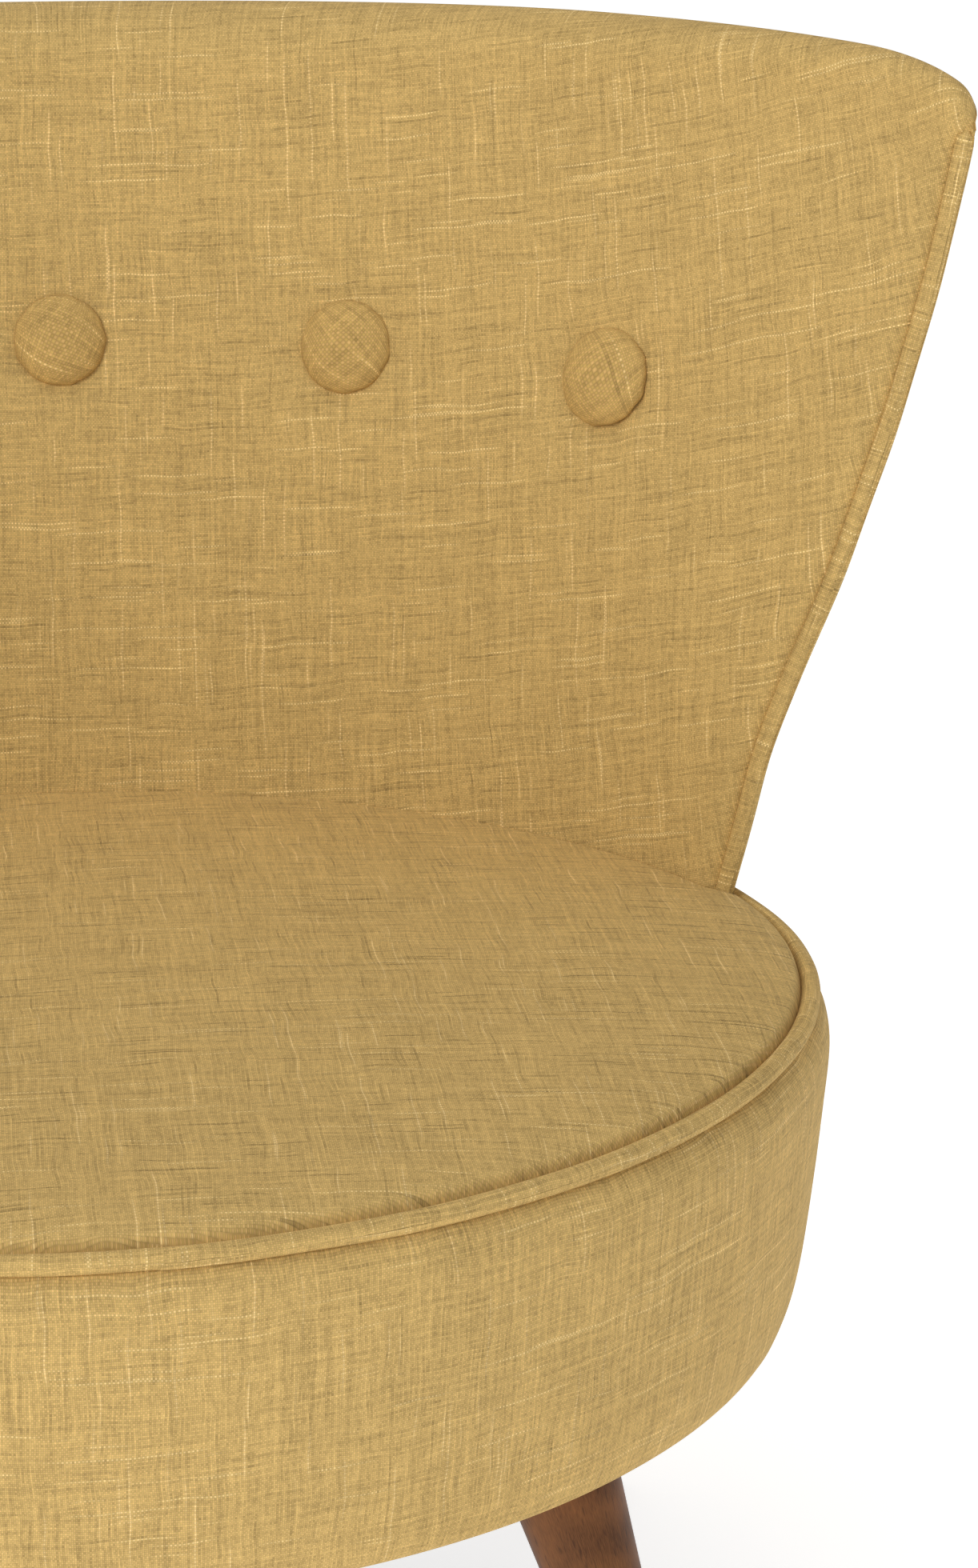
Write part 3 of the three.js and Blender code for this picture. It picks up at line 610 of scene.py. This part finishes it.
def outside_back():
    shares = back_shares(181)[None, :]
    angles = np.linspace(ROLL_SEAM, math.pi, 9)[:-1, None]
    half = thickness(shares) / 2
    closing = closing_depth(shares, roll_foot(shares))
    hem = 1.6 * MM * (1 - smooth_step(ROLL_SEAM, ROLL_SEAM + 0.14, angles))
    roll = roll_point(shares, angles, closing + hem)
    levels = np.linspace(1, 0, 90)[:, None]
    face_z = OUTSIDE_FOOT_Z + (roll_foot(shares) - OUTSIDE_FOOT_Z) * levels
    run = shares * plan_curve(face_z)[3]
    uneven = 0.7 * MM * ripple(run, face_z, 0.12, 8) + 0.2 * MM * ripple(run, face_z, 0.035, 9)
    sink = closing_depth(shares, face_z) + 1.2 * MM * np.sin(math.pi * levels) + uneven * (1 - shares ** 8)
    face = back_point(shares, face_z, 2 * half - sink)
    last = face[-1]
    turn = np.arctan2((last[:, 1] - SEAT_Y) / HALF_DEPTH, last[:, 0] / HALF_WIDTH)
    hem_line = oval(turn, PIPING_INSET + 1.5 * MM, 356 * MM, DRUM_TOP)
    steps = np.linspace(0, 1, 6)[1:, None, None]
    foot_rows = last * (1 - steps ** 1.5) + hem_line * steps ** 1.5
    foot_rows[..., 2] = last[None, :, 2] * (1 - steps[..., 0]) + hem_line[None, :, 2] * steps[..., 0]
    grid = np.concatenate([roll, face, foot_rows])
    slant = np.concatenate([
        (roll_foot(shares) - FOOT_Z) * OUTSIDE_SLANT + half * (math.pi - angles),
        (face_z - FOOT_Z) * OUTSIDE_SLANT,
        (OUTSIDE_FOOT_Z - FOOT_Z) * OUTSIDE_SLANT - 6 * MM * np.linspace(0, 1, 6)[1:, None]
        + 0 * shares])
    thread = back_thread(np.broadcast_to(shares, slant.shape), slant, 0.02, 3.0)
    rows, columns = grid.shape[:2]
    made = mesh_object("outside_back_panel", grid, grid_faces(rows, columns), BACK_CLOTH, thread)
    return finish_piece(made, "fabric", "outside_back_cover")


def side_piping(side, name, node):
    heights = np.linspace(359 * MM, PIPED_TOP + 4 * MM, 90)
    share = side * (1 - PIPING_RADIUS / plan_curve(heights)[3])
    path = back_point(share, heights, EDGE_THICKNESS / 2)
    sway = 0.35 * MM * ripple(heights, 0 * heights, 0.03, 11)
    path[:, 0] += side * (sway - 0.2 * MM)
    grid, thread = tube(path, PIPING_RADIUS, 20, wobble=0.03, seed=12)
    cap = smooth_step(0, 5 * MM, PIPED_TOP + 4 * MM - heights)
    grid = path[:, None] + (grid - path[:, None]) * np.sqrt(np.maximum(cap, 1e-4))[:, None, None]
    rows, columns = grid.shape[:2]
    made = mesh_object(name, grid, grid_faces(rows, columns), BACK_CLOTH, thread)
    return finish_piece(made, "fabric", node)


def covered_button(place, index):
    """A domed button in its own round of cloth, gathered under the rim."""
    rings = np.linspace(0, 1, 26)[:, None]
    turn = np.linspace(0, TAU, 65)[None, :]
    fold = 0.012 * np.cos(9 * turn + index) + 0.009 * np.cos(14 * turn + 2 * index)
    angle = rings * 0.62 * math.pi
    radius = BUTTON_RADIUS * np.sin(np.minimum(angle, math.pi / 2)) ** 0.82
    radius = radius * np.where(angle > math.pi / 2, np.cos((angle - math.pi / 2) * 0.9), 1)
    radius = radius * (1 + fold * smooth_step(0.55, 0.9, rings))
    height = 0.66 * BUTTON_HEIGHT * np.cos(angle) + 0.34 * BUTTON_HEIGHT
    radius = radius * (1 + 0.025 * abs(index))
    flat = points(radius * np.cos(turn), radius * np.sin(turn), height + 0 * turn)
    centre = back_point(np.array(place), np.array(BUTTON_Z), 3.2 * MM)
    turned = math.copysign(min(abs(place) * plan_curve(BUTTON_Z)[3] / ARC_RADIUS,
                               plan_curve(BUTTON_Z)[2]), place)
    facing = np.array([-math.sin(turned), -math.cos(turned), RECLINE])
    facing /= np.linalg.norm(facing)
    across = np.cross([0, 0, 1.0], facing)
    across /= np.linalg.norm(across)
    upward = np.cross(facing, across)
    grid = (centre + flat[..., :1] * across + flat[..., 1:2] * upward + flat[..., 2:] * facing)
    spin = 0.5 + 0.18 * index
    arc = BUTTON_RADIUS * 1.15 * rings
    thread = points(arc * np.cos(turn + spin), arc * np.sin(turn + spin), 5.0 + index)
    rows, columns = grid.shape[:2]
    name = f"covered_button_{index + 3}"
    made = mesh_object(name, grid, grid_faces(rows, columns), SHADED_BUTTON_CLOTH, thread)
    return finish_piece(made, "fabric", f"button_{index + 3}")


# ---- the seat ----

SEAT_RINGS = 100
SEAT_STEPS = 320
SEAT_FAN = 0.059                # slant of the seat cover's threads


def back_cut(turn):
    """Distance from the seat's middle to the back's inside face, in each direction."""
    z = 368 * MM
    face = back_point(np.linspace(-1, 1, 241), z + 0 * np.linspace(-1, 1, 241), 2 * MM)
    around = np.arctan2(face[:, 1] - SEAT_Y, face[:, 0])
    reach = np.hypot(face[:, 0], face[:, 1] - SEAT_Y)
    order = np.argsort(around)
    centred = (turn + math.pi / 2) % TAU - math.pi / 2
    return np.interp(centred, around[order], reach[order], left=9.0, right=9.0)


def seat_pad():
    """The top panel: crowned, sewn down into the piping, and tucked under the back."""
    turn = np.linspace(0, TAU, SEAT_STEPS + 1)[None, :-1]
    rim = oval(turn, RIM_INSET - 2.0 * MM, DRUM_TOP)
    around = np.arctan2(rim[..., 1] - SEAT_Y, rim[..., 0])
    full = np.hypot(rim[..., 0], rim[..., 1] - SEAT_Y)
    cut = back_cut(around)
    reach = np.minimum(full, cut)
    q = 1 - (1 - np.linspace(0, 1, SEAT_RINGS)[:, None]) ** 1.7
    run = q * reach
    x, y = run * np.cos(around), run * np.sin(around)
    to_rim = full - run
    to_back = cut - run
    share = run / full
    z = RIM_Z + (CROWN_RISE - RIM_STEP) * (1 - share ** 2)
    z = z + RIM_STEP * (1 - np.exp(-to_rim / (9 * MM)))
    z = z - 7.5 * MM * (1 - smooth_step(0, 5 * MM, to_rim)) ** 2
    z = z - 9 * MM * (1 - smooth_step(0, 9 * MM, to_back)) ** 2
    edge = np.exp(-to_rim / (22 * MM))
    arc = around * MEAN_RADIUS
    z = z + 0.15 * MM * ripple(arc, 0 * arc + 0 * run, 0.016, 21) * edge
    z = z + 0.9 * MM * ripple(x, y, 0.11, 22) * (1 - edge)
    z = z + 0.25 * MM * ripple(x, y, 0.035, 23)
    grid = points(x, SEAT_Y + y, z)
    thread = points(x + SEAT_FAN * y, y - SEAT_FAN * x, 7.0)
    faces = grid_faces(SEAT_RINGS, SEAT_STEPS, ring=True)
    made = mesh_object("seat_top_pad", grid, faces, SEAT_CLOTH, thread)
    return finish_piece(made, "fabric", "seat_top_cover", "seat_foam")


BAND_SWELL = 8.0 * MM
BAND_ROUNDING = 6.0 * MM         # radius of the soft lower edge


def band_reach(level):
    """How far the padding swells out over the drum's wall, at a height above its lower edge."""
    share = level / (DRUM_TOP - DRUM_BOTTOM)
    swell = BAND_SWELL * (1 - np.exp((share - 1) / 0.05)) * (1 - np.exp(-share / 0.12))
    below = np.maximum(BAND_ROUNDING - level, 0)
    return swell - BAND_ROUNDING + np.sqrt(BAND_ROUNDING ** 2 - below ** 2)


def seat_band():
    """The padded side panel, turned in under the piping and under the base."""
    turn = np.linspace(math.pi / 2, math.pi / 2 + TAU, 481)[None, :]
    level = np.concatenate([np.linspace(138, 124, 14), np.linspace(121, 12, 38),
                            np.array([9, 6, 4, 3, 2, 1.2, 0.7, 0.4, 0.15, 0])])[:, None] * MM
    arc = turn * MEAN_RADIUS
    soft = 0.45 * MM * ripple(arc, level, 0.05, 31) + 0.18 * MM * ripple(arc, level, 0.02, 32)
    soft = soft * smooth_step(0, 12 * MM, level) * smooth_step(138 * MM, 128 * MM, level)
    wall = oval(turn, soft - band_reach(level), DRUM_BOTTOM + level)
    inward = np.linspace(0, 1, 6)[1:, None] * 15 * MM
    under = oval(turn, BAND_ROUNDING + inward, DRUM_BOTTOM - 0.3 * MM, DRUM_BOTTOM)
    grid = np.concatenate([wall, under])
    seam = np.minimum(turn - math.pi / 2, math.pi / 2 + TAU - turn) * MEAN_RADIUS
    outward = grid - np.array([0, SEAT_Y, 0])
    outward[..., 2] = 0
    outward /= np.linalg.norm(outward, axis=-1, keepdims=True)
    grid = grid - outward * (1.8 * MM * np.exp(-seam / (3 * MM)))[..., None]
    steps = np.linalg.norm(np.diff(wall[30], axis=0), axis=1)
    along = np.concatenate([[0], np.cumsum(steps)])
    down = np.concatenate([level, -inward])
    thread = points(along[None, :], down, 9.0)
    rows, columns = grid.shape[:2]
    made = mesh_object("seat_side_band", grid, grid_faces(rows, columns), BAND_CLOTH, thread)
    return finish_piece(made, "fabric", "seat_band")


def seat_piping():
    turn = np.linspace(-math.pi / 2 + 0.12, TAU - math.pi / 2 + 0.12, 721)[:-1]
    path = oval(turn, PIPING_INSET, PIPING_Z + 0 * turn, DRUM_TOP)
    path[:, 2] += 0.3 * MM * ripple(turn * MEAN_RADIUS, 0 * turn, 0.05, 41)
    grid, thread = tube(path, PIPING_RADIUS, 20, closed=True, wobble=0.03, seed=42)
    rows, columns = grid.shape[:2]
    grid = np.concatenate([grid, grid[:1]])
    thread = np.concatenate([thread, thread[:1] + [0, thread[1, 0, 1] + thread[-1, 0, 1], 0]])
    made = mesh_object("seat_edge_piping", grid, grid_faces(rows + 1, columns), BAND_CLOTH, thread)
    return finish_piece(made, "fabric", "seat_piping")


def stitch_row():
    """Small visible stitches that hold the seam allowance just under the piping."""
    count = 520
    turn = np.linspace(0, TAU, count + 1)[:-1]
    z = DRUM_TOP - 1.2 * MM
    middle = oval(turn, 0.2 * MM, z)
    ahead = oval(turn + 0.004, 0.2 * MM, z) - middle
    ahead /= np.linalg.norm(ahead, axis=1, keepdims=True)
    outward = np.cross(ahead, [0, 0, 1.0])
    steps = np.linspace(-1, 1, 7)
    around = np.linspace(0, TAU, 7)[:-1]
    vertices, faces = [], []
    one = grid_faces(len(steps), len(around), ring=True)
    for k in range(count):
        size = 0.3 * MM * np.sqrt(np.maximum(1 - steps ** 2, 0.02))
        run = middle[k] + steps[:, None] * 1.25 * MM * ahead[k]
        across = (np.cos(around)[:, None] * outward[k] + np.sin(around)[:, None] * [0, 0, 1.0])
        faces.append(one + len(vertices) * len(steps) * len(around))
        vertices.append((run[:, None] + size[:, None, None] * across[None]).reshape(-1, 3))
    made = mesh_object("piping_stitches", np.concatenate(vertices), np.concatenate(faces), THREAD)
    return finish_piece(made, "fabric")


# ---- legs and base ----

LEG_TOP = 214.7 * MM
LEG_FOOT = 4.3 * MM
LEG_FOOT_RADIUS = 10 * MM
LEG_TOP_RADIUS = 23.5 * MM
LEG_TAPER = 1.6                 # above 1 the taper is quickest just under the seat
LEG_X, LEG_Y = 183 * MM, 163 * MM
LEAN_X, LEAN_Y = 0.30, 0.26


def leg_centre(side_x, side_y, z):
    drop = LEG_TOP - z
    return side_x * (LEG_X + LEAN_X * drop), SEAT_Y + side_y * (LEG_Y + LEAN_Y * drop)


def turned_leg(side_x, side_y, place):
    z = np.concatenate([
        LEG_TOP - 2 * MM * (1 - np.cos(np.linspace(0, math.pi / 2, 5))),
        np.linspace(LEG_TOP - 3 * MM, LEG_FOOT + 1.2 * MM, 70),
        LEG_FOOT + 1.2 * MM * (1 - np.sin(np.linspace(0, math.pi / 2, 5)[1:]))])[:, None]
    share = np.clip((LEG_TOP - z) / (LEG_TOP - LEG_FOOT), 0, 1)
    radius = LEG_FOOT_RADIUS + (LEG_TOP_RADIUS - LEG_FOOT_RADIUS) * (1 - share) ** LEG_TAPER
    chamfer = 2 * MM * (1 - np.sin(np.linspace(0, math.pi / 2, 5)))
    radius[:5, 0] -= chamfer
    radius[-4:, 0] -= 1.2 * MM * (1 - np.cos(np.linspace(0, math.pi / 2, 5)[1:]))
    turn = np.linspace(0, TAU, 72)[None, :-1]
    x, y = leg_centre(side_x, side_y, z)
    grid = points(x + radius * np.cos(turn), y + radius * np.sin(turn), z)
    spin = {"front_right": 0.4, "front_left": 2.6, "rear_right": 4.1, "rear_left": 5.3}[place]
    thread = points(radius * np.cos(turn + spin), radius * np.sin(turn + spin), z)
    rows, columns = grid.shape[:2]
    ends = [list(range(columns)), list(range((rows - 1) * columns, rows * columns))[::-1]]
    faces = [*grid_faces(rows, columns, ring=True), *ends]
    made = mesh_object(f"turned_leg_{place}", grid, faces, LEG_WOOD, thread)
    return finish_piece(made, "leg_wood", f"leg_{place}")


def foot_glide(side_x, side_y, place):
    steps = np.array([[9.5, 4.0], [9.5, 1.4], [9.3, 0.8], [8.9, 0.35], [8.2, 0.08], [7.4, 0.0]]) * MM
    turn = np.linspace(0, TAU, 48)[None, :-1]
    x, y = leg_centre(side_x, side_y, 4 * MM)
    grid = points(x + steps[:, :1] * np.cos(turn), y + steps[:, :1] * np.sin(turn), steps[:, 1:])
    rows, columns = grid.shape[:2]
    ends = [list(range(columns)), list(range((rows - 1) * columns, rows * columns))[::-1]]
    faces = [*grid_faces(rows, columns, ring=True), *ends]
    made = mesh_object(f"foot_glide_{place}", grid, faces, NYLON)
    return finish_piece(made, "nylon", f"glide_{place}")


def dust_sheet():
    """Black lining stapled under the base, slack by a few millimetres."""
    low, high = (np.array(corner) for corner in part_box("dust_cover"))
    turn = np.linspace(0, TAU, 121)[None, :-1]
    q = np.linspace(0, 1, 40)[:, None]
    rim = oval(turn, 10 * MM, low[2], DRUM_BOTTOM)
    x, y = rim[..., 0] * q, (rim[..., 1] - SEAT_Y) * q
    sag = 2.4 * MM * (1 - q ** 2) + 0.5 * MM * ripple(x, y, 0.09, 51) * (1 - q ** 4)
    grid = points(x, SEAT_Y + y, low[2] - 0.3 * MM - sag)
    made = mesh_object("dust_sheet", grid, grid_faces(40, 120, ring=True), LINING)
    return finish_piece(made, "lining", "dust_cover")


def build_sofa():
    inside_back()
    outside_back()
    side_piping(-1, "side_piping_left", "edge_piping_left")
    side_piping(1, "side_piping_right", "edge_piping_right")
    for place, index in button_places():
        covered_button(place, index)
    seat_pad()
    seat_band()
    seat_piping()
    stitch_row()
    dust_sheet()
    for depth_name, side_y in (("front", -1), ("rear", 1)):
        for width_name, side_x in (("left", -1), ("right", 1)):
            turned_leg(side_x, side_y, f"{depth_name}_{width_name}")
            foot_glide(side_x, side_y, f"{depth_name}_{width_name}")


HIDDEN_LOOKS = {
    "steel": STEEL,
    "frame_wood": sawn_wood("frame_wood", colour(214, 180, 128), colour(168, 130, 84), 60),
    "fibreboard": sawn_wood("fibreboard", colour(158, 126, 88), colour(112, 84, 56), 300),
    "webbing": lining_cloth("webbing", colour(24, 24, 24), colour(60, 60, 60), 700),
    "foam": lining_cloth("foam", colour(222, 214, 188), colour(240, 234, 214), 900),
}


def dress_hidden_nodes():
    """The frame, straps and fixings stay as the CAD has them, with their own materials."""
    for part in frame["record"]["subparts"]:
        look = HIDDEN_LOOKS.get(part["material_slot"])
        if look:
            data = frame["nodes"][part["node"]].data
            data.materials.clear()
            data.materials.append(look)


# ---- the studio ----


def area_light(name, place, aim, size, power, tint=(1, 1, 1)):
    data = bpy.data.lights.new(name, "AREA")
    data.shape = "DISK"
    data.size = size
    data.energy = power
    data.color = tint
    made = bpy.data.objects.new(name, data)
    made.location = place
    made.rotation_euler = Vector(np.subtract(aim, place)).to_track_quat("-Z", "Y").to_euler()
    bpy.context.scene.collection.objects.link(made)


def studio():
    turn = np.linspace(0, TAU, 97)[None, :-1]
    reach = np.array([0.0, 1.0, 3.0, 14.0])[:, None]
    grid = points(reach * np.cos(turn), reach * np.sin(turn), 0 * reach)
    s = Shader("studio_floor")
    s.finish((0.9, 0.9, 0.9, 1), 0.9, Emission_Color=(1, 1, 1, 1), Emission_Strength=0.6)
    floor = mesh_object("floor", grid, grid_faces(4, 96, ring=True), s.material)
    world = bpy.data.worlds.new("studio")
    world.use_nodes = True
    world.node_tree.nodes["Background"].inputs["Color"].default_value = (1, 1, 1, 1)
    world.node_tree.nodes["Background"].inputs["Strength"].default_value = 0.46
    bpy.context.scene.world = world
    area_light("key", (-1.7, -2.2, 2.1), (0, 0, 0.45), 1.4, 38)
    area_light("top", (0, 0.1, 3.0), (0, 0, 0.45), 1.6, 12)
    bpy.context.scene.view_settings.view_transform = "Standard"


def camera():
    pitch, yaw = 0.315, 0.091
    data = bpy.data.cameras.new("camera")
    data.lens = 92.8
    data.sensor_width = 36
    data.clip_end = 60
    made = bpy.data.objects.new("camera", data)
    made.location = (0.030, SEAT_Y - 1.5534, 0.9445)
    made.rotation_euler = (math.pi / 2 - pitch, 0, -yaw)
    bpy.context.scene.collection.objects.link(made)
    bpy.context.scene.camera = made


camera()
studio()
build_sofa()
dress_hidden_nodes()
